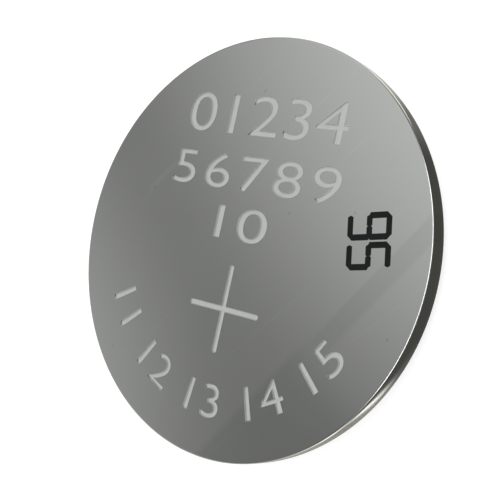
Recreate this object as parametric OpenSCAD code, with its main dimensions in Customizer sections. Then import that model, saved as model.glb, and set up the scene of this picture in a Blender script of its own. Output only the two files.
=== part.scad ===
// Lithium coin cell, 16 mm across and 2 mm thick, lying on its negative contact with the positive face up.
// A steel can is drawn in round its mouth over a plastic gasket and a steel cap, which seals the stack inside.

/* [Cell] */
// Diameter over the can
cell_d = 16; // [15:0.1:24.5]
// Thickness from the negative contact to the positive face
cell_h = 2; // [1.9:0.05:2.4]

/* [Positive can] */
// Thickness of the can's steel
can_t = 0.25; // [0.15:0.01:0.3]
// Outer radius round the edge of the positive face
can_edge_r = 0.1; // [0.05:0.01:0.25]
// Inner radius where the can's floor meets its wall
can_root_r = 0.05; // [0.02:0.01:0.1]
// Outer radius of the crimp that draws the can's mouth in
crimp_r = 1.2; // [0.9:0.05:1.25]
// Width of the crimped rim, from the can's side to the sheared end of its lip
rim_w = 1.05; // [0.85:0.05:1.1]

/* [Negative cap] */
// Thickness of the cap's steel
cap_t = 0.25; // [0.15:0.01:0.3]
// Slope of the cap's cup, as the growth in radius from its foot to its shoulder
cup_flare = 0.15; // [0.1:0.01:0.25]
// Bend radius inside the cup's foot
cup_foot_r = 0.1; // [0.05:0.01:0.15]
// Bend radius under the cap's shoulder
shoulder_r = 0.06; // [0.03:0.01:0.1]
// Bend radius inside the cap's skirt
skirt_r = 0.1; // [0.05:0.01:0.15]
// Height of the cap's skirt, from the outside of its shoulder to its edge
skirt_h = 0.53; // [0.45:0.01:0.65]
// Width of the cap's shoulder, from the side of the cup to the inside of the skirt
shoulder_w = 0.6; // [0.5:0.02:0.7]

/* [Gasket] */
// Thickness of the gasket between the can's wall and the cap's skirt
seal_wall_t = 0.35; // [0.25:0.01:0.4]
// Thickness of the gasket squeezed between the crimped lip and the cap's shoulder
seal_lip_t = 0.32; // [0.25:0.01:0.4]
// Thickness of the gasket between the can's floor and the edge of the cap's skirt
seal_toe_t = 0.3; // [0.2:0.01:0.35]
// Distance that the gasket stands out past the lip's end
seal_proud = 0.15; // [0.05:0.01:0.25]
// Depth of the groove that holds the edge of the cap's skirt
groove_depth = 0.14; // [0.05:0.01:0.15]
// Thickness of the groove's inner wall
groove_wall_t = 0.4; // [0.2:0.02:0.5]

/* [Stack] */
// Clearance round the stack inside the cap's cup
stack_gap = 0.12; // [0.05:0.01:0.3]
// Thickness of the lithium disc
anode_t = 0.45; // [0.3:0.01:0.5]
// Distance that the separator laps past the lithium disc all round
separator_lap = 0.25; // [0.1:0.05:0.5]
// Thickness of the separator
separator_t = 0.15; // [0.05:0.01:0.2]
// Bevel on the edges of the pressed cathode pellet
pellet_bevel = 0.1; // [0.02:0.01:0.15]
// Distance that the cathode pellet laps past the collector all round
collector_inset = 0.3; // [0.1:0.05:0.6]
// Thickness of the collector mesh
collector_t = 0.1; // [0.05:0.01:0.15]
// Pitch of the collector's square gaps
mesh_pitch = 1.05; // [1:0.05:2]
// Width of the bars between the gaps
mesh_bar = 0.3; // [0.15:0.05:0.5]
// Width of the plain border round the mesh
mesh_border = 0.3; // [0.2:0.05:0.6]

/* [Hidden] */
$fn = 96;
// Straight steps in each bend of the cap's section
bend_steps = 10;

// Can: outside and inside of its wall, the underside of its floor and the end of its lip
can_r = cell_d / 2;
bore_r = can_r - can_t;
can_floor_z = cell_h - can_t;
lip_end_r = can_r - rim_w;

// Cap: its skirt and the skirt's edge, the outside of its shoulder, and the top and foot of its cup
skirt_out_r = bore_r - seal_wall_t;
skirt_in_r = skirt_out_r - cap_t;
skirt_end_z = can_floor_z - seal_toe_t;
shoulder_z = skirt_end_z - skirt_h;
cup_top_r = skirt_in_r - shoulder_w;
cup_foot_out_r = cup_top_r - cup_flare;

// Crimped lip: its height above the negative contact, pressing the gasket on the cap's shoulder
lip_z = shoulder_z - seal_lip_t - can_t;

// Gasket: the mouth round the cap and the inner wall of the groove
seal_mouth_r = lip_end_r - seal_proud;
groove_in_r = skirt_in_r - groove_wall_t;

// Stack: radii of the discs and the levels where they lie on each other
cup_bore_r = cup_foot_out_r - cap_t;
separator_r = cup_bore_r - stack_gap;
anode_r = separator_r - separator_lap;
pellet_r = separator_r;
collector_r = pellet_r - collector_inset;
anode_z = cap_t;
separator_z = anode_z + anode_t;
pellet_z = separator_z + separator_t;
collector_z = can_floor_z - collector_t;

// The collector's gaps: as many columns as fit, and only those that clear the plain border
mesh_gap = mesh_pitch - mesh_bar;
mesh_reach = floor(collector_r / mesh_pitch);
mesh_clear_r = collector_r - mesh_border;

// Vector of length one along v
function unit(v) = v / norm(v);

// Vector v turned a quarter turn to the left
function left(v) = [-v.y, v.x];

// One side of the bend at corner b between the legs a-b and b-c: r is the radius of the sheet's middle,
// and away is how far that side lies to the left of the middle
function bend_side(a, b, c, r, away) =
    let (
        leg_in = unit(b - a),
        leg_out = unit(c - b),
        hand = sign(cross(leg_in, leg_out)),
        turn = acos(leg_in * leg_out),
        centre = b - leg_in * r * tan(turn / 2) + left(leg_in) * hand * r,
        spoke = -left(leg_in) * hand,
        start = atan2(spoke.y, spoke.x)
    )
    [for (k = [0:bend_steps])
        let (angle = start + hand * turn * k / bend_steps)
        centre + (r - hand * away) * [cos(angle), sin(angle)]];

// One side of a bent sheet whose middle follows the path
function sheet_side(path, radii, away) =
    let (
        last = len(path) - 1,
        bends = [for (i = [1:last - 1])
            each bend_side(path[i - 1], path[i], path[i + 1], radii[i - 1], away)]
    )
    concat(
        [path[0] + left(unit(path[1] - path[0])) * away],
        bends,
        [path[last] + left(unit(path[last] - path[last - 1])) * away]
    );

// The points in the opposite order
function reverse(points) = [for (i = [len(points) - 1:-1:0]) points[i]];

// Quarter of a disc beside its centre, on the high or the low side
module quarter(centre, r, high) {
    translate(centre)
        intersection() {
            circle(r);
            translate([0, high ? 0 : -r])
                square(r);
        }
}

// Section of a round drum from its axis out, with a radius on its low edge and, if wanted, its high edge
module drum_section(r, low_z, high_z, low_r, high_r = 0) {
    side_z = low_z + low_r;
    translate([0, low_z])
        square([r - low_r, high_z - low_z]);
    translate([0, side_z])
        square([r - high_r, high_z - side_z]);
    translate([0, side_z])
        square([r, high_z - high_r - side_z]);
    quarter([r - low_r, side_z], low_r, false);
    if (high_r > 0)
        quarter([r - high_r, high_z - high_r], high_r, true);
}

// Section of a pressed sheet, t thick, whose middle follows the path with a bend at each inner corner
module sheet_section(path, radii, t) {
    polygon(concat(
        sheet_side(path, radii, -t / 2),
        reverse(sheet_side(path, radii, t / 2))
    ));
}

// Outside of the crimped can
module can_outside() {
    drum_section(can_r, lip_z, cell_h, crimp_r, can_edge_r);
}

// Inside of the crimped can, which the gasket is pressed against
module can_inside() {
    drum_section(bore_r, lip_z + can_t, can_floor_z, crimp_r - can_t, can_root_r);
}

// Outside of the cap's shoulder and skirt, which the gasket grips
module cap_outside() {
    drum_section(skirt_out_r, shoulder_z, skirt_end_z, skirt_r + cap_t);
}

// Drawn steel can: the flat positive face, the side, and the mouth crimped in to a sheared lip
module positive_can() {
    color([0.66, 0.67, 0.66])
        rotate_extrude()
            difference() {
                can_outside();
                can_inside();
                translate([0, lip_z - can_t])
                    square([lip_end_r, 3 * can_t]);
            }
}

// Moulded gasket: fills the crimp round the cap, with a groove for the edge of its skirt
module gasket() {
    color([0.86, 0.86, 0.82])
        rotate_extrude() {
            difference() {
                can_inside();
                cap_outside();
                square([seal_mouth_r, skirt_end_z]);
                translate([0, skirt_end_z])
                    square([groove_in_r, cell_h]);
            }
            translate([groove_in_r, skirt_end_z - groove_depth])
                square([groove_wall_t, groove_depth]);
        }
}

// Pressed steel cap: the flat negative contact, a flared cup, a shoulder and a skirt
module negative_cap() {
    middle = cap_t / 2;
    path = [
        [0, middle],
        [cup_foot_out_r - middle, middle],
        [cup_top_r - middle, shoulder_z + middle],
        [skirt_out_r - middle, shoulder_z + middle],
        [skirt_out_r - middle, skirt_end_z]
    ];
    radii = [cup_foot_r + middle, shoulder_r + middle, skirt_r + middle];
    color([0.7, 0.7, 0.68])
        rotate_extrude()
            sheet_section(path, radii, cap_t);
}

// Pressed manganese dioxide pellet, beveled where the die lets it out
module cathode_pellet() {
    pellet_t = collector_z - pellet_z;
    color([0.16, 0.16, 0.17])
        translate([0, 0, pellet_z])
            rotate_extrude()
                polygon([
                    [0, 0],
                    [pellet_r - pellet_bevel, 0],
                    [pellet_r, pellet_bevel],
                    [pellet_r, pellet_t - pellet_bevel],
                    [pellet_r - pellet_bevel, pellet_t],
                    [0, pellet_t]
                ]);
}

// Punched steel mesh between the pellet and the can's floor
module cathode_collector() {
    color([0.55, 0.56, 0.57])
        translate([0, 0, collector_z])
            linear_extrude(collector_t)
                difference() {
                    circle(collector_r);
                    for (i = [-mesh_reach:mesh_reach], j = [-mesh_reach:mesh_reach]) {
                        corner = [abs(i), abs(j)] * mesh_pitch + [mesh_gap, mesh_gap] / 2;
                        if (norm(corner) < mesh_clear_r)
                            translate([i, j] * mesh_pitch)
                                square(mesh_gap, center = true);
                    }
                }
}

// Porous plastic film that keeps the lithium and the pellet apart
module separator() {
    color([0.93, 0.93, 0.9])
        translate([0, 0, separator_z])
            cylinder(h = separator_t, r = separator_r);
}

// Disc punched from lithium foil and pressed into the cap
module lithium_anode() {
    color([0.74, 0.74, 0.73])
        translate([0, 0, anode_z])
            cylinder(h = anode_t, r = anode_r);
}

positive_can();
gasket();
negative_cap();
cathode_pellet();
cathode_collector();
separator();
lithium_anode();
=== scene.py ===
import math

import bmesh
import bpy
from mathutils import Matrix, Vector
from mathutils.geometry import delaunay_2d_cdt


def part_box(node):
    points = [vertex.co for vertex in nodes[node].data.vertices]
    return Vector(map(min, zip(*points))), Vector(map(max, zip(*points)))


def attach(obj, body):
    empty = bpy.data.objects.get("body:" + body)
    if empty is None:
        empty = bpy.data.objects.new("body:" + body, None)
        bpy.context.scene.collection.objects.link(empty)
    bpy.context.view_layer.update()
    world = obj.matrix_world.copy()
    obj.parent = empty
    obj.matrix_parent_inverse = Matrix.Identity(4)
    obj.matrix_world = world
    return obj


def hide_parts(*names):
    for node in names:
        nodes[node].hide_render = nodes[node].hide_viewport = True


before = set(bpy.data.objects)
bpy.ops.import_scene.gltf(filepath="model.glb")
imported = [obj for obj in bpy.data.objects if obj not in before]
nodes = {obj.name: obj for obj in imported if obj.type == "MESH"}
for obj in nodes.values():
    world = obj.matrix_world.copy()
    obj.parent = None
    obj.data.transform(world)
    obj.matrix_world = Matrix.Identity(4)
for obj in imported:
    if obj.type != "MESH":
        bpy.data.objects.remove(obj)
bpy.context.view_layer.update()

mm = 0.001


# Negative cap: the cup that is the cell's lower contact, with a shoulder and a skirt round it.
# Thin nickel-plated steel strip, blanked and pressed to a bent section that is the same all round.
cap_t = 0.25 * mm
cap_shoulder_w = 0.6 * mm
cap_flare = 0.15 * mm
cap_shoulder_z = 0.92 * mm
cap_foot_bend = 0.1 * mm
cap_shoulder_bend = 0.06 * mm
cap_skirt_bend = 0.1 * mm
cap_skirt_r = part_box("negative_cap")[1].x
cap_edge_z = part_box("negative_cap")[1].z
cap_dark = (0.52, 0.52, 0.50, 1)
cap_light = (0.66, 0.66, 0.64, 1)
cap_line_height = 0.0006 * mm
BEND_STEPS = 12
TURNS = 256
SHARP_ANGLE = 40
TINY = 1e-9
LEVEL = 0.99999

around = [2 * math.pi * k / TURNS for k in range(TURNS)]


def arc(centre, radius, start, end, steps=BEND_STEPS):
    """Points (r, z) along an arc, with its angles in degrees."""
    angles = [math.radians(start + (end - start) * k / steps) for k in range(steps + 1)]
    return [(centre[0] + radius * math.cos(a), centre[1] + radius * math.sin(a)) for a in angles]


def bent_strip(path, radii, thickness):
    """Closed outline (r, z) of a strip whose middle follows the path, with a bend at each inner corner."""
    sides = {1: [], -1: []}
    points = [Vector(p) for p in path]
    for side, outline in sides.items():
        offset = side * thickness / 2
        first = (points[1] - points[0]).normalized()
        outline.append(points[0] + offset * Vector((-first.y, first.x)))
        for i, radius in enumerate(radii, start=1):
            leg_in = (points[i] - points[i - 1]).normalized()
            leg_out = (points[i + 1] - points[i]).normalized()
            left = Vector((-leg_in.y, leg_in.x))
            hand = math.copysign(1, leg_in.cross(leg_out))
            turn = math.acos(leg_in.dot(leg_out))
            centre = points[i] - leg_in * radius * math.tan(turn / 2) + left * hand * radius
            spoke = -left * hand
            start = math.degrees(math.atan2(spoke.y, spoke.x))
            end = start + hand * math.degrees(turn)
            outline += [Vector(p) for p in arc(centre, radius - hand * offset, start, end)]
        last = (points[-1] - points[-2]).normalized()
        outline.append(points[-1] + offset * Vector((-last.y, last.x)))
    return [tuple(p) for p in sides[-1] + sides[1][::-1]]


def revolve(bm, profile, closed):
    """Adds the profile (r, z) to bm, turned round the Z axis. A closed profile joins its ends."""
    rings = []
    for r, z in profile:
        if r < TINY:
            rings.append([bm.verts.new((0, 0, z))])
        else:
            rings.append([bm.verts.new((r * math.cos(a), r * math.sin(a), z)) for a in around])
    pairs = list(zip(rings, rings[1:]))
    if closed:
        pairs.append((rings[-1], rings[0]))
    for low, high in pairs:
        if len(low) == len(high) == 1:
            continue
        for k in range(TURNS):
            n = (k + 1) % TURNS
            corners = [low[k % len(low)], low[n % len(low)], high[n % len(high)], high[k % len(high)]]
            bm.faces.new(list(dict.fromkeys(corners)))


def finished_piece(name, bm, sharp_angle, *materials):
    """Turns bm into a piece with rounded bends, flat faces that stay flat, and its materials."""
    bmesh.ops.recalc_face_normals(bm, faces=bm.faces)
    mesh = bpy.data.meshes.new(name)
    bm.to_mesh(mesh)
    bm.free()
    mesh.shade_smooth()
    mesh.set_sharp_from_angle(angle=math.radians(sharp_angle))
    for face in mesh.polygons:
        face.use_smooth = abs(face.normal.z) < LEVEL
    for material in materials:
        mesh.materials.append(material)
    piece = bpy.data.objects.new(name, mesh)
    bpy.context.scene.collection.objects.link(piece)
    return piece


def group(name, inputs, outputs):
    """An empty node group with float inputs {name: value} and float outputs."""
    tree = bpy.data.node_groups.new(name, "ShaderNodeTree")
    for label, value in inputs.items():
        socket = tree.interface.new_socket(label, in_out="INPUT", socket_type="NodeSocketFloat")
        socket.default_value = value
    for label in outputs:
        tree.interface.new_socket(label, in_out="OUTPUT", socket_type="NodeSocketFloat")
    tree.nodes.new("NodeGroupInput")
    tree.nodes.new("NodeGroupOutput")
    return tree


def add(tree, kind, settings=None, **sockets):
    """A node of that kind, with its settings, and its input sockets set to values or linked."""
    node = tree.nodes.new(kind)
    for key, value in (settings or {}).items():
        setattr(node, key, value)
    for key, value in sockets.items():
        target = node.inputs[int(key[1:])] if key[0] == "i" and key[1:].isdigit() else node.inputs[key]
        if isinstance(value, bpy.types.NodeSocket):
            tree.links.new(value, target)
        else:
            target.default_value = value
    return node


def maths(tree, operation, first, second=0.0):
    """One step of arithmetic."""
    return add(tree, "ShaderNodeMath", {"operation": operation}, i0=first, i1=second).outputs[0]


def vector_maths(tree, operation, first, second=(0, 0, 0)):
    """One step of arithmetic on vectors, which gives a vector, a length or a dot product."""
    node = add(tree, "ShaderNodeVectorMath", {"operation": operation}, i0=first, i1=second)
    return node.outputs["Value" if operation in ("LENGTH", "DOT_PRODUCT") else "Vector"]


def ranged(tree, value, from_min, from_max, to_min, to_max):
    """The value moved from one range to another with a soft start and end."""
    settings = {"interpolation_type": "SMOOTHSTEP"}
    return add(tree, "ShaderNodeMapRange", settings, i0=value, i1=from_min, i2=from_max,
               i3=to_min, i4=to_max).outputs[0]


def mixed(tree, share, low, high):
    """A colour between low and high."""
    return add(tree, "ShaderNodeMix", {"data_type": "RGBA"}, i0=share, i6=low, i7=high).outputs[2]


def piece_place(tree):
    """Where a point lies on the piece itself."""
    return add(tree, "ShaderNodeTexCoord").outputs["Object"]


def turned(tree, place, angle):
    """The place turned round the cell's axis."""
    return add(tree, "ShaderNodeVectorRotate", {"rotation_type": "Z_AXIS"}, Vector=place,
               Angle=angle).outputs[0]


def split(tree, vector):
    """The X, Y and Z of a vector."""
    return add(tree, "ShaderNodeSeparateXYZ", Vector=vector).outputs


def clouds(tree, place, scale, detail, **sockets):
    """Soft random clouds, whose scale is a count per metre."""
    noise = add(tree, "ShaderNodeTexNoise", Vector=place, Scale=scale, Detail=detail, **sockets)
    return noise.outputs["Fac"]


def principled(name, **sockets):
    """A new material with its node tree and its Principled BSDF, whose sockets are set by name."""
    material = bpy.data.materials.new(name)
    material.use_nodes = True
    shader = material.node_tree.nodes["Principled BSDF"]
    for key, value in sockets.items():
        shader.inputs[key.replace("_", " ")].default_value = value
    return material, material.node_tree, shader


def drive(tree, node, **outputs):
    """Links outputs to the node's sockets of those names."""
    for key, output in outputs.items():
        tree.links.new(output, node.inputs[key.replace("_", " ")])


def relief(tree, height, distance):
    """The normal over a fine relief whose full height is the distance."""
    return add(tree, "ShaderNodeBump", Height=height, Distance=distance).outputs["Normal"]


# Rolled strip has fine lines in the direction of rolling, a slow unevenness and a few short scuffs.
# A wiped face also has hairlines and small dark specks, which stop short of its edge.
rolled = group(
    "rolled_steel",
    {"Direction": 0.8, "Mottle": 0.03, "Rough": 0.14, "Rough Range": 0.05, "Scuffs": 0.1},
    ("Tone", "Roughness", "Height"),
)
inside = rolled.nodes["Group Input"].outputs
place = piece_place(rolled)
strip_place = turned(rolled, place, inside["Direction"])
line_stretch = (60, 1500, 1500)
scuff_stretch = (90, 900, 900)
lines = clouds(rolled, vector_maths(rolled, "MULTIPLY", strip_place, line_stretch), 2.5, 3.0)
slow = clouds(rolled, place, 260.0, 2.0)
scratch = clouds(rolled, vector_maths(rolled, "MULTIPLY", strip_place, scuff_stretch), 3.0, 1.0)
scuff = maths(rolled, "MULTIPLY", ranged(rolled, scratch, 0.70, 0.76, 0.0, 1.0), inside["Scuffs"])
rough = maths(rolled, "ADD", inside["Rough"], maths(rolled, "MULTIPLY", slow, inside["Rough Range"]))
rough = maths(rolled, "ADD", rough, scuff)

marked_r = 7.7 * mm
clean_r = 7.85 * mm
wipe_angle = -0.82
wear_scale = 420.0
out_r = vector_maths(rolled, "LENGTH", vector_maths(rolled, "MULTIPLY", place, (1, 1, 0)))
on_face = ranged(rolled, out_r, marked_r, clean_r, 1.0, 0.0)
aside = split(rolled, turned(rolled, place, wipe_angle))["Y"]
gap = add(rolled, "ShaderNodeTexVoronoi", {"voronoi_dimensions": "1D", "feature": "DISTANCE_TO_EDGE"},
          W=aside, Scale=wear_scale).outputs["Distance"]
hairline = ranged(rolled, gap, 0.004, 0.014, 1.0, 0.0)
hairline = maths(rolled, "MULTIPLY", hairline, ranged(rolled, slow, 0.48, 0.6, 0.0, 0.2))
hairline = maths(rolled, "MULTIPLY", hairline, on_face)
spots = add(rolled, "ShaderNodeTexVoronoi", {"voronoi_dimensions": "2D"}, Vector=place, Scale=wear_scale)
speck = ranged(rolled, spots.outputs["Distance"], 0.012, 0.034, 1.0, 0.0)
few = split(rolled, spots.outputs["Color"])["X"]
speck = maths(rolled, "MULTIPLY", speck, ranged(rolled, few, 0.6, 0.9, 0.0, 0.8))
speck = maths(rolled, "MULTIPLY", speck, on_face)
tone = maths(rolled, "ADD", maths(rolled, "MULTIPLY", slow, inside["Mottle"]), 0.5)
tone = maths(rolled, "ADD", tone, hairline)
tone = maths(rolled, "SUBTRACT", tone, speck)
drive(rolled, rolled.nodes["Group Output"], Tone=tone, Roughness=rough, Height=lines)


def steel(name, dark, light, line_height, **values):
    """Bare or plated steel strip: rolled_steel drives its colour, roughness and relief."""
    material, tree, shader = principled(name, Metallic=1.0)
    surface = add(tree, "ShaderNodeGroup", {"node_tree": rolled})
    for key, value in values.items():
        surface.inputs[key.replace("_", " ")].default_value = value
    colour = mixed(tree, surface.outputs["Tone"], dark, light)
    fine_lines = relief(tree, surface.outputs["Height"], line_height)
    drive(tree, shader, Base_Color=colour, Roughness=surface.outputs["Roughness"], Normal=fine_lines)
    return material


cap_steel = steel("cap_steel", cap_dark, cap_light, cap_line_height, Direction=0.3, Rough=0.24,
                  Rough_Range=0.1, Scuffs=0.12)
half = cap_t / 2
cup_top_r = cap_skirt_r - cap_t - cap_shoulder_w
cap_path = [
    (0, half),
    (cup_top_r - cap_flare - half, half),
    (cup_top_r - half, cap_shoulder_z + half),
    (cap_skirt_r - half, cap_shoulder_z + half),
    (cap_skirt_r - half, cap_edge_z),
]
cap_bends = [bend + half for bend in (cap_foot_bend, cap_shoulder_bend, cap_skirt_bend)]
bm = bmesh.new()
revolve(bm, bent_strip(cap_path, cap_bends, cap_t), closed=True)
cap = finished_piece("pressed_cap", bm, SHARP_ANGLE, cap_steel)
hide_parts("negative_cap")
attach(cap, "root")


# Gasket: the ring that seals the can's mouth and keeps the two contacts apart.
# Injection-moulded polypropylene, milky and slightly glossy, squeezed in between the can and the cap.
crimp_r = 1.2 * mm
can_t = 0.25 * mm
lip_z = 0.35 * mm
rim_w = 1.05 * mm
root_r = 0.05 * mm
groove_depth = 0.14 * mm
groove_w = 0.4 * mm
seal_proud = 0.15 * mm
seal_dark = (0.74, 0.74, 0.69, 1)
seal_light = (0.86, 0.86, 0.82, 1)
CRIMP_STEPS = 24
ROOT_STEPS = 6

can_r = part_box("positive_can")[1].x
top_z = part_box("positive_can")[1].z
floor_z = top_z - can_t
wall_r = can_r - can_t
lip_end_r = can_r - rim_w
crimp_centre = (can_r - crimp_r, lip_z + crimp_r)
mouth_r = lip_end_r - seal_proud
skirt_in_r = cap_skirt_r - cap_t
groove_r = skirt_in_r - groove_w
groove_z = cap_edge_z - groove_depth
skirt_bend = cap_skirt_bend + cap_t

plastic, tree, shader = principled("gasket_plastic", IOR=1.49, Subsurface_Weight=0.35,
                                   Subsurface_Scale=0.3 * mm)
milk = clouds(tree, piece_place(tree), 700.0, 3.0)
drive(tree, shader, Base_Color=mixed(tree, milk, seal_dark, seal_light),
      Roughness=ranged(tree, milk, 0.3, 0.7, 0.36, 0.5))

seal_outline = [(mouth_r, lip_z + can_t)]
seal_outline += arc(crimp_centre, crimp_r - can_t, -90, 0, CRIMP_STEPS)
seal_outline += arc((wall_r - root_r, floor_z - root_r), root_r, 0, 90, ROOT_STEPS)
seal_outline += [(groove_r, floor_z), (groove_r, groove_z), (skirt_in_r, groove_z)]
seal_outline += [(skirt_in_r, cap_edge_z), (cap_skirt_r, cap_edge_z)]
seal_outline += arc((cap_skirt_r - skirt_bend, cap_shoulder_z + skirt_bend), skirt_bend, 0, -90)
seal_outline += [(mouth_r, cap_shoulder_z)]
bm = bmesh.new()
revolve(bm, seal_outline, closed=True)
seal = finished_piece("moulded_gasket", bm, SHARP_ANGLE, plastic)
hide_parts("gasket")
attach(seal, "root")


# Lithium disc: the anode, lying in the cup of the cap.
# Punched from rolled foil, so it is soft, dull silver and a little darkened where it met the air.
lithium_bright = (0.62, 0.62, 0.6, 1)
lithium_stained = (0.36, 0.36, 0.37, 1)


def dress(name, material):
    """Gives a solid of the frame its material."""
    nodes[name].data.materials.clear()
    nodes[name].data.materials.append(material)


lithium, tree, shader = principled("lithium", Metallic=1.0)
stain = clouds(tree, piece_place(tree), 500.0, 6.0, Roughness=0.7)
stained = ranged(tree, stain, 0.35, 0.7, 0.0, 1.0)
drive(tree, shader, Base_Color=mixed(tree, stained, lithium_bright, lithium_stained),
      Roughness=ranged(tree, stain, 0.3, 0.8, 0.38, 0.62))
dress("lithium_anode", lithium)


# Separator: the film that keeps the lithium off the pellet and soaks up the electrolyte.
# Non-woven plastic fibre, white and matt, punched a little wider than the lithium.
film_dark = (0.78, 0.78, 0.75, 1)
film_light = (0.93, 0.93, 0.91, 1)
fibre_height = 0.01 * mm

felt, tree, shader = principled("separator_film", Roughness=0.9, Sheen_Weight=0.2)
fibre = clouds(tree, piece_place(tree), 6000.0, 5.0, Distortion=2.0)
drive(tree, shader, Base_Color=mixed(tree, fibre, film_dark, film_light),
      Normal=relief(tree, fibre, fibre_height))
dress("separator", felt)


# Cathode pellet: the thick disc above the separator.
# Manganese dioxide and carbon powder pressed in a die, near black and grainy, with beveled edges.
powder_dark = (0.022, 0.022, 0.024, 1)
powder_light = (0.075, 0.075, 0.08, 1)
grain_height = 0.01 * mm

pressed, tree, shader = principled("cathode")
place = piece_place(tree)
grain = add(tree, "ShaderNodeTexVoronoi", Vector=place, Scale=9000.0).outputs["Distance"]
fleck = clouds(tree, place, 3000.0, 4.0)
flecked = ranged(tree, fleck, 0.55, 0.75, 0.0, 1.0)
drive(tree, shader, Base_Color=mixed(tree, flecked, powder_dark, powder_light),
      Roughness=ranged(tree, fleck, 0.4, 0.8, 0.9, 0.55), Normal=relief(tree, grain, grain_height))
dress("cathode_pellet", pressed)


# Collector: the mesh that carries the pellet's current to the can's floor.
# Punched stainless steel sheet, duller than the can because it is never polished.
mesh_dark = (0.42, 0.42, 0.42, 1)
mesh_light = (0.56, 0.56, 0.55, 1)
mesh_line_height = 0.001 * mm

mesh_steel = steel("collector_steel", mesh_dark, mesh_light, mesh_line_height, Direction=0.0,
                   Rough=0.34, Rough_Range=0.12, Scuffs=0.05)
dress("cathode_collector", mesh_steel)


# Positive can: the flat upper face, the side, and the mouth crimped in over the gasket.
# Deep-drawn plated steel, with the marks stamped in the face and one code printed in ink.
edge_r = 0.08 * mm
can_dark = (0.53, 0.543, 0.528, 1)
can_light = (0.65, 0.665, 0.648, 1)
can_line_height = 0.0004 * mm
EDGE_STEPS = 10
OUTER_CRIMP_STEPS = 28
CAN_SHARP_ANGLE = 42

can_steel = steel("can_steel", can_dark, can_light, can_line_height, Direction=-0.85, Rough=0.12,
                  Rough_Range=0.05, Scuffs=0.04)

# Painted shade: a narrow slanting band darkens the colour of the lower right of the face, and a wide one
# the steel below it, in place of darker reflections
shade_streak_angle = -0.95
shade_streak_tint = (0.88, 0.886, 0.88, 1)
narrow_low = (-5.8 * mm, -5.5 * mm)
narrow_high = (-5.0 * mm, -4.8 * mm)
narrow_start = (-1.2 * mm, 1.6 * mm)
wide_high = (-5.0 * mm, -4.6 * mm)
wide_end = (-1.4 * mm, 0.6 * mm)
tree = can_steel.node_tree
shader = tree.nodes["Principled BSDF"]
shade_streak = split(tree, turned(tree, piece_place(tree), shade_streak_angle))
narrow = maths(tree, "MULTIPLY", ranged(tree, shade_streak["Y"], *narrow_low, 0.0, 1.0),
               ranged(tree, shade_streak["Y"], *narrow_high, 1.0, 0.0))
narrow = maths(tree, "MULTIPLY", narrow, ranged(tree, shade_streak["X"], *narrow_start, 0.0, 0.7))
wide = maths(tree, "MULTIPLY", ranged(tree, shade_streak["Y"], *wide_high, 1.0, 0.0),
             ranged(tree, shade_streak["X"], *wide_end, 1.0, 0.0))
painted_shade = maths(tree, "MAXIMUM", narrow, wide)
# The painted shade is multiplied into the bare steel's colour
bare = shader.inputs["Base Color"].links[0].from_socket
shaded = add(tree, "ShaderNodeMix", {"data_type": "RGBA", "blend_type": "MULTIPLY"}, i0=painted_shade,
             i6=bare, i7=shade_streak_tint).outputs[2]
drive(tree, shader, Base_Color=shaded)

# The die leaves the floor of each mark frosted, so that it scatters light more than the bare steel
frosted_dark = (0.57, 0.587, 0.57, 1)
frosted_light = (0.65, 0.668, 0.65, 1)
frost_height = 0.001 * mm
frosted, tree, shader = principled("stamped_steel", Metallic=0.4, Specular_IOR_Level=0.3)
frost = clouds(tree, piece_place(tree), 9000.0, 3.0)
drive(tree, shader, Base_Color=mixed(tree, frost, frosted_dark, frosted_light),
      Roughness=ranged(tree, frost, 0.3, 0.7, 0.55, 0.7), Normal=relief(tree, frost, frost_height))

ink_dark = (0.008, 0.008, 0.009, 1)
ink_light = (0.015, 0.015, 0.016, 1)
ink, tree, shader = principled("printed_ink", Specular_IOR_Level=0.12)
cover = clouds(tree, piece_place(tree), 5000.0, 4.0)
drive(tree, shader, Base_Color=mixed(tree, cover, ink_dark, ink_light),
      Roughness=ranged(tree, cover, 0.3, 0.7, 0.42, 0.6))


def figure_loops(text, weight=0.0, spacing=1.0):
    """Closed outlines of plain figures, thickened on all sides by weight."""
    curve = bpy.data.curves.new("figures", "FONT")
    curve.body = text
    curve.fill_mode = "NONE"
    curve.resolution_u = 5
    curve.offset = weight
    curve.space_character = spacing
    holder = bpy.data.objects.new("figures", curve)
    bpy.context.scene.collection.objects.link(holder)
    bpy.context.view_layer.update()
    outlines = holder.evaluated_get(bpy.context.evaluated_depsgraph_get()).to_mesh()
    after = {}
    for edge in outlines.edges:
        a, b = edge.vertices
        after.setdefault(a, []).append(b)
        after.setdefault(b, []).append(a)
    loops = []
    while after:
        here = next(iter(after))
        loop = []
        while here in after:
            loop.append(tuple(outlines.vertices[here].co.xy))
            here = next((n for n in after.pop(here) if n in after), None)
        loops.append(loop)
    bpy.data.objects.remove(holder)
    bpy.data.curves.remove(curve)
    return loops


def fitted(loops, left, right, low, high):
    """The outlines scaled to fill a box on the face."""
    xs = [x for loop in loops for x, _ in loop]
    ys = [y for loop in loops for _, y in loop]
    across = (right - left) / (max(xs) - min(xs))
    up = (high - low) / (max(ys) - min(ys))
    return [[(left + (x - min(xs)) * across, low + (y - min(ys)) * up) for x, y in loop] for loop in loops]


def bent_round(loops, radius):
    """A level row bent round the face's lower edge, with its foot on that radius."""
    return [[((radius - y) * math.sin(x / radius), -(radius - y) * math.cos(x / radius))
             for x, y in loop] for loop in loops]


def bar(start, end, width, tip, end_tip=None):
    """A straight stroke whose ends are cut to blunt points, or square where the tip is nothing."""
    a, b = Vector(start), Vector(end)
    way = (b - a).normalized()
    side = Vector((-way.y, way.x)) * width / 2
    near = way * tip
    far = way * (tip if end_tip is None else end_tip)
    return [tuple(p) for p in (a, a + near + side, b - far + side, b, b - far - side, a + near - side)]


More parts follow.
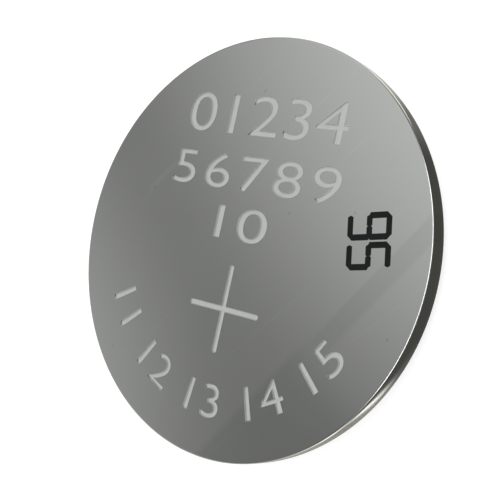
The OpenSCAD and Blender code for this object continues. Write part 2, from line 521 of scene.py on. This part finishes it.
# Level rows: the figures, how much they are thickened, their spacing, and the left, right, foot and top
level_rows = (
    ("01234", 0.13, 1.0, -3.75 * mm, 3.78 * mm, 4.13 * mm, 5.7 * mm),
    ("56789", 0.0, 1.15, -3.96 * mm, 3.95 * mm, 2.0 * mm, 3.36 * mm),
    ("10", 0.0, 1.0, -1.25 * mm, 1.2 * mm, 0.12 * mm, 1.4 * mm),
)
stamped_rows = []
for text, weight, spacing, *box in level_rows:
    stamped_rows += fitted(figure_loops(text, weight, spacing), *box)

curved_text = "11 12 13 14 15"
curved_left = -7.1 * mm
curved_right = 7.0 * mm
curved_high = 1.25 * mm
curved_r = 6.52 * mm
curved_row = fitted(figure_loops(curved_text), curved_left, curved_right, 0.0, curved_high)
stamped_rows += bent_round(curved_row, curved_r)

plus_arm = 1.68 * mm
plus_w = 0.21 * mm
plus_y = -2.46 * mm
plus_tip = 0.06 * mm
plus_bars = [
    bar((-plus_arm, plus_y), (plus_arm, plus_y), plus_w, plus_tip),
    bar((0, plus_y - plus_arm), (0, plus_y + plus_arm), plus_w, plus_tip),
]

# The printed code: two figures of straight strokes that read upwards, a little askew to the stamped rows
code_w = 0.22 * mm
code_high = 1.71 * mm
code_wide = 0.96 * mm
code_step = 1.02 * mm
code_centre = Vector((5.615, 0.505)) * mm
code_turn = math.radians(100.8)
code_chamfer = 0.18 * mm
code_tip = 0.06 * mm
code_waist = 0.03 * mm
code_figures = (
    ("top", "upper left", "middle", "lower right", "foot"),
    ("top", "upper left", "middle", "lower left", "lower right", "foot"),
)


def code_loops(parts, shift):
    """Outlines of one figure: its strokes, with a chamfered patch where two of them meet at a corner."""
    w = (code_wide - code_w) / 2
    h = (code_high - code_w) / 2
    half_w = code_w / 2
    # Each stroke's start and end, and the strokes that it meets there
    strokes = {
        "top": ((-w, h), (w, h), "upper left", ""),
        "upper left": ((-w, h), (-w, 0), "top", ""),
        "middle": ((-w, 0), (w, 0), "", ""),
        "lower left": ((-w, 0), (-w, -h), "", "foot"),
        "lower right": ((w, 0), (w, -h), "", "foot"),
        "foot": ((-w, -h), (w, -h), "lower left", "lower right"),
    }
    loops = []
    for part in parts:
        start, end, *meets = strokes[part]
        start, end = Vector(start), Vector(end)
        way = (end - start).normalized()
        ends = [start, end]
        tips = [code_tip, code_tip]
        for k, (point, out) in enumerate(((start, way), (end, -way))):
            if meets[k] in parts:
                ends[k] = point + out * half_w
                tips[k] = 0.0
            else:
                ends[k] = point - out * code_waist
        if part == "middle":
            middle = (start + end) / 2
            loops.append(bar(ends[0], middle + way * code_waist, code_w, code_tip))
            loops.append(bar(middle - way * code_waist, ends[1], code_w, code_tip))
        else:
            loops.append(bar(ends[0], ends[1], code_w, *tips))
    cut = half_w - code_chamfer
    patch = ((-half_w, -half_w), (half_w, -half_w), (half_w, cut), (cut, half_w), (-half_w, half_w))
    corners = ((-w, h, "top", "upper left"), (w, -h, "lower right", "foot"), (-w, -h, "foot", "lower left"))
    for x, y, one, other in corners:
        if one in parts and other in parts:
            a = math.copysign(1, x)
            b = math.copysign(1, y)
            loops.append([(x + a * px, y + b * py) for px, py in patch])
    across = Vector((math.cos(code_turn), math.sin(code_turn)))
    upward = Vector((-across.y, across.x))
    return [[tuple(code_centre + across * (x + shift) + upward * y) for x, y in loop] for loop in loops]


ink_bars = []
for k, parts in enumerate(code_figures):
    ink_bars += code_loops(parts, k * code_step)


def turns_left(loop):
    """True where the outline runs counterclockwise."""
    return sum(a[0] * b[1] - b[0] * a[1] for a, b in zip(loop, loop[1:] + loop[:1])) > 0


# The face is one flat sheet of triangles, divided along the outlines of the marks
disc_r = can_r - edge_r
loops = [[(disc_r * math.cos(a), disc_r * math.sin(a)) for a in around]]
loops += stamped_rows + plus_bars + ink_bars
loops = [loop if turns_left(loop) else loop[::-1] for loop in loops]
points = [Vector(p) / mm for loop in loops for p in loop]
rings = []
count = 0
for loop in loops:
    rings.append(list(range(count, count + len(loop))))
    count += len(loop)
INSIDE_ONLY = 1
SAME_POINT = 1e-6
verts, _, faces, _, _, owners = delaunay_2d_cdt(points, [], rings, INSIDE_ONLY, SAME_POINT, True)
first_plus = 1 + len(stamped_rows)
first_ink = first_plus + len(plus_bars)
row_ids = set(range(1, first_plus))
plus_ids = set(range(first_plus, first_ink))
ink_ids = set(range(first_ink, len(loops)))

inner_crimp_r = crimp_r - can_t
outer_lip = -math.degrees(math.acos((lip_end_r - crimp_centre[0]) / crimp_r))
inner_lip = -math.degrees(math.acos((lip_end_r - crimp_centre[0]) / inner_crimp_r))
can_profile = [(disc_r, top_z)] + arc((disc_r, top_z - edge_r), edge_r, 90, 0, EDGE_STEPS)[1:]
can_profile += arc(crimp_centre, crimp_r, 0, outer_lip, OUTER_CRIMP_STEPS)
can_profile += arc(crimp_centre, inner_crimp_r, inner_lip, 0, CRIMP_STEPS)
can_profile += arc((wall_r - root_r, floor_z - root_r), root_r, 0, 90, ROOT_STEPS)
can_profile += [(0, floor_z)]
bm = bmesh.new()
revolve(bm, can_profile, closed=False)

WELD = 1e-7
can_materials = (can_steel, frosted, ink)
BARE, FROSTED, INKED = range(len(can_materials))
sheet = [bm.verts.new((v.x * mm, v.y * mm, top_z)) for v in verts]
pressed_faces = []
for corners, owner in zip(faces, owners):
    face = bm.faces.new([sheet[c] for c in corners])
    owner = set(owner)
    if owner & ink_ids:
        face.material_index = INKED
    elif owner & plus_ids or len(owner & row_ids) % 2:
        pressed_faces.append(face)
bmesh.ops.remove_doubles(bm, verts=bm.verts, dist=WELD)
bmesh.ops.recalc_face_normals(bm, faces=bm.faces)
pressed_faces = [f for f in pressed_faces if f.is_valid]

# The marks go down over a narrow frosted shoulder and then a steep bright slope
shoulder_w = 0.006 * mm
shoulder_depth = 0.003 * mm
slope_w = 0.02 * mm
stamp_depth = 0.065 * mm
stamp_steps = ((FROSTED, shoulder_w, shoulder_depth), (BARE, slope_w, stamp_depth - shoulder_depth))
for index, inward, down in stamp_steps:
    edge_faces = bmesh.ops.inset_region(bm, faces=pressed_faces, thickness=inward, depth=-down,
                                        use_boundary=True, use_even_offset=True)["faces"]
    for face in edge_faces:
        face.material_index = index
for face in pressed_faces:
    face.material_index = FROSTED
can = finished_piece("stamped_can", bm, CAN_SHARP_ANGLE, *can_materials)
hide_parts("positive_can")
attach(can, "root")


# Studio: a plain pale floor, a soft sky of broad glows as from large diffusers, and one soft lamp.
# The floor shows white to the lens and in reflections, and keeps the shadow that falls on it.
floor_r = 0.6
floor_grey = (0.4, 0.4, 0.4, 1)
floor_lift = 0.8
FLOOR_SIDES = 128
white = (1, 1, 1, 1)
floor_mesh = bpy.data.meshes.new("floor")
bm = bmesh.new()
bmesh.ops.create_circle(bm, cap_ends=True, radius=floor_r, segments=FLOOR_SIDES)
bm.to_mesh(floor_mesh)
bm.free()
floor = bpy.data.objects.new("floor", floor_mesh)
bpy.context.scene.collection.objects.link(floor)
paper, tree, shader = principled("floor_paper", Base_Color=floor_grey, Roughness=0.9,
                                 Specular_IOR_Level=0.0)
path = add(tree, "ShaderNodeLightPath").outputs
seen = maths(tree, "MAXIMUM", path["Is Camera Ray"], path["Is Glossy Ray"])
seen = maths(tree, "MAXIMUM", seen, path["Is Transmission Ray"])
lift = add(tree, "ShaderNodeEmission", Color=white, Strength=maths(tree, "MULTIPLY", seen, floor_lift))
both = add(tree, "ShaderNodeAddShader", i0=shader.outputs[0], i1=lift.outputs[0])
drive(tree, tree.nodes["Material Output"], Surface=both.outputs[0])
floor_mesh.materials.append(paper)

# A curved card round the cell, which only reflections see. It glows with painted bands of light and shade:
# the can's side reflects them as its dark band on the right, a cream streak at the lower right, and thin
# bright lines towards the top and bottom.
card_foot = (7.0 * mm, 0.02 * mm)
card_bend_r = 6 * mm
card_bend_centre = (13 * mm, 6.02 * mm)
card_from, card_to = -115, 115
CARD_STEPS = 60
card_outline = [card_foot] + arc(card_bend_centre, card_bend_r, -90, 0)
bm = bmesh.new()
strips = []
for k in range(CARD_STEPS + 1):
    a = math.radians(card_from + (card_to - card_from) * k / CARD_STEPS)
    strips.append([bm.verts.new((r * math.cos(a), r * math.sin(a), z)) for r, z in card_outline])
for left, right in zip(strips, strips[1:]):
    for k in range(len(card_outline) - 1):
        bm.faces.new((left[k], left[k + 1], right[k + 1], right[k]))
card_mesh = bpy.data.meshes.new("curved_card")
bm.to_mesh(card_mesh)
bm.free()
card = bpy.data.objects.new("curved_card", card_mesh)
bpy.context.scene.collection.objects.link(card)

# The card's four bands from the cell outwards and up: bearings in degrees, each with its brightness.
# The streak leans, so the near band is read at a bearing that shifts with the distance.
card_bright = 2.6
card_cream = (1, 0.97, 0.89)
cream_to = 110
foot_to_near = (8.56 * mm, 8.74 * mm)
near_to_low = (10.2 * mm, 11.2 * mm)
low_to_high = (1 * mm, 2 * mm)
lean_distance = (8.6 * mm, 9.2 * mm)
lean_angle = (-0.067, 0.352)
foot_band = (
    (-114, 1.16), (-100, 0.56), (-60, 0.44), (-42, 0.36), (-31, 0.3), (-23, 0.14), (-14, 0.085),
    (34, 0.085), (48, 0.2), (63, 0.58), (92, 0.78), (114, 1.16),
)
near_band = (
    (-114, 1.16), (-100, 0.52), (-82, 0.42), (-66, 0.44), (-52, 0.34), (-43, 0.28), (-39.5, 0.5),
    (-36.5, 2.25), (-31.5, 2.1), (-29, 0.35), (-24, 0.11), (-17, 0.085), (34, 0.085), (48, 0.2),
    (63, 0.58), (92, 0.78), (114, 1.16),
)
low_band = (
    (-114, 1.16), (-104, 0.7), (-97, 0.8), (-87, 0.9), (-77, 1.2), (-67, 2.1), (-54, 2.6), (-49, 1.2),
    (-45, 0.13), (-38, 0.085), (45, 0.085), (51, 0.4), (56, 2.4), (68, 2.5), (80, 1.7), (114, 1.16),
)
high_band = (
    (-114, 1.16), (-98, 0.34), (-70, 0.26), (-50, 0.16), (-38, 0.085), (60, 0.085), (70, 0.16),
    (80, 0.55), (95, 0.68), (114, 1.16),
)
shaded_card = bpy.data.materials.new("shaded_card")
shaded_card.use_nodes = True
tree = shaded_card.node_tree
tree.nodes.clear()
place = split(tree, piece_place(tree))
bearing = maths(tree, "ARCTAN2", place["Y"], place["X"])
flat = add(tree, "ShaderNodeCombineXYZ", X=place["X"], Y=place["Y"]).outputs[0]
away = vector_maths(tree, "LENGTH", flat)
lean = add(tree, "ShaderNodeMapRange", i0=away, i1=lean_distance[0], i2=lean_distance[1],
           i3=lean_angle[0], i4=lean_angle[1]).outputs[0]
lean = maths(tree, "MULTIPLY", lean, ranged(tree, bearing, -0.2, 0.2, 1.0, 0.0))
leaning = maths(tree, "ADD", bearing, lean)


def card_tones(bend, band):
    """The colours of one band, spread over the card from end to end. Its ends fade to the floor's white."""
    share = add(tree, "ShaderNodeMapRange", i0=bend, i1=math.radians(card_from), i2=math.radians(card_to),
                i3=0.0, i4=1.0).outputs[0]
    ramp = add(tree, "ShaderNodeValToRGB", Fac=share)
    ramp.color_ramp.interpolation = "EASE"
    elements = ramp.color_ramp.elements
    while len(elements) < len(band):
        elements.new(0.5)
    for element, (degrees, bright) in zip(elements, band):
        tint = card_cream if abs(degrees) < cream_to else white
        element.position = (degrees - card_from) / (card_to - card_from)
        element.color = (*[bright / card_bright * channel for channel in tint[:3]], 1)
    return ramp.outputs["Color"]


foot_tones = card_tones(bearing, foot_band)
near_tones = card_tones(leaning, near_band)
low_tones = card_tones(bearing, low_band)
high_tones = card_tones(bearing, high_band)
tone = mixed(tree, ranged(tree, away, *foot_to_near, 0.0, 1.0), foot_tones, near_tones)
tone = mixed(tree, ranged(tree, away, *near_to_low, 0.0, 1.0), tone, low_tones)
tone = mixed(tree, ranged(tree, place["Z"], *low_to_high, 0.0, 1.0), tone, high_tones)
shine = add(tree, "ShaderNodeEmission", Color=tone, Strength=card_bright)
add(tree, "ShaderNodeOutputMaterial", Surface=shine.outputs[0])
card_mesh.materials.append(shaded_card)
card.visible_camera = False
card.visible_diffuse = False
card.visible_shadow = False
card.visible_transmission = False

# The sky is pale near the floor and dim above, with two broad glows and a dark patch in one of them.
# A bright strip overhead draws the line of light round the face's edge. The lens sees the sky white.
horizon = (0.02, 0.14)
horizon_bright = 0.95
dome_bright = 0.235
# Azimuth and height of each glow, and how far it reaches, in degrees, with its brightness
glows = ((109, 61, 43, 0.7), (196, 24, 29, 0.47), (88, 58, 26, -0.6))
# Axis, middle, and the distances at which the strip starts and ends to fade
strip_sides = (("X", 0.3, 0.03, 0.15), ("Y", 0.0, 0.46, 0.66), ("Z", 1.0, 0.3, 0.5))
strip_ends = (-0.3, 0.3)
strip_bright = (5.1, 4.7)
world = bpy.data.worlds.new("studio")
bpy.context.scene.world = world
world.use_nodes = True
tree = world.node_tree
look = add(tree, "ShaderNodeTexCoord").outputs["Generated"]
sides = split(tree, look)
level = ranged(tree, sides["Z"], *horizon, horizon_bright, dome_bright)
for azimuth, height, reach, bright in glows:
    a = math.radians(azimuth)
    e = math.radians(height)
    towards = (math.cos(e) * math.cos(a), math.cos(e) * math.sin(a), math.sin(e))
    near = vector_maths(tree, "DOT_PRODUCT", look, towards)
    glow = ranged(tree, near, math.cos(math.radians(reach)), 1.0, 0.0, bright)
    level = maths(tree, "ADD", glow, level)
strip = ranged(tree, sides["Y"], *strip_ends, *strip_bright)
for axis, middle, inner, outer in strip_sides:
    distance = maths(tree, "ABSOLUTE", maths(tree, "SUBTRACT", sides[axis], middle))
    strip = maths(tree, "MULTIPLY", strip, ranged(tree, distance, inner, outer, 1.0, 0.0))
level = maths(tree, "ADD", strip, level)
level = maths(tree, "MAXIMUM", level, add(tree, "ShaderNodeLightPath").outputs["Is Camera Ray"])
background = tree.nodes["Background"]
drive(tree, background, Strength=level)
background.inputs["Color"].default_value = white

# The lamp is a round diffuser high on the right, which reflections don't see
lamp_place = Vector((0.06, 0.05, 0.2))
lamp = bpy.data.lights.new("soft_lamp", "AREA")
lamp.shape = "DISK"
lamp.size = 0.12
lamp.energy = 0.14
soft_lamp = bpy.data.objects.new("soft_lamp", lamp)
aim = (-lamp_place).to_track_quat("-Z", "Y").to_matrix().to_4x4()
soft_lamp.matrix_world = Matrix.Translation(lamp_place) @ aim
soft_lamp.visible_glossy = False
bpy.context.scene.collection.objects.link(soft_lamp)


# Camera: close above the right-hand side, looking down on the positive face as the photograph does
camera_place = Vector((21.120, -0.558, 28.405)) * mm
camera_forward = Vector((-0.6125, 0.0138, -0.7904)).normalized()
camera_up = Vector((-0.1599, 0.9770, 0.1410))
lens = bpy.data.cameras.new("camera")
lens.sensor_width = 36
lens.lens = 65.12
lens.clip_start = 1 * mm
lens.clip_end = 10
right = camera_forward.cross(camera_up).normalized()
turn = Matrix((right, right.cross(camera_forward), -camera_forward)).transposed()
camera = bpy.data.objects.new("camera", lens)
camera.matrix_world = Matrix.Translation(camera_place) @ turn.to_4x4()
bpy.context.scene.collection.objects.link(camera)
bpy.context.scene.camera = camera
bpy.context.scene.view_settings.view_transform = "Standard"
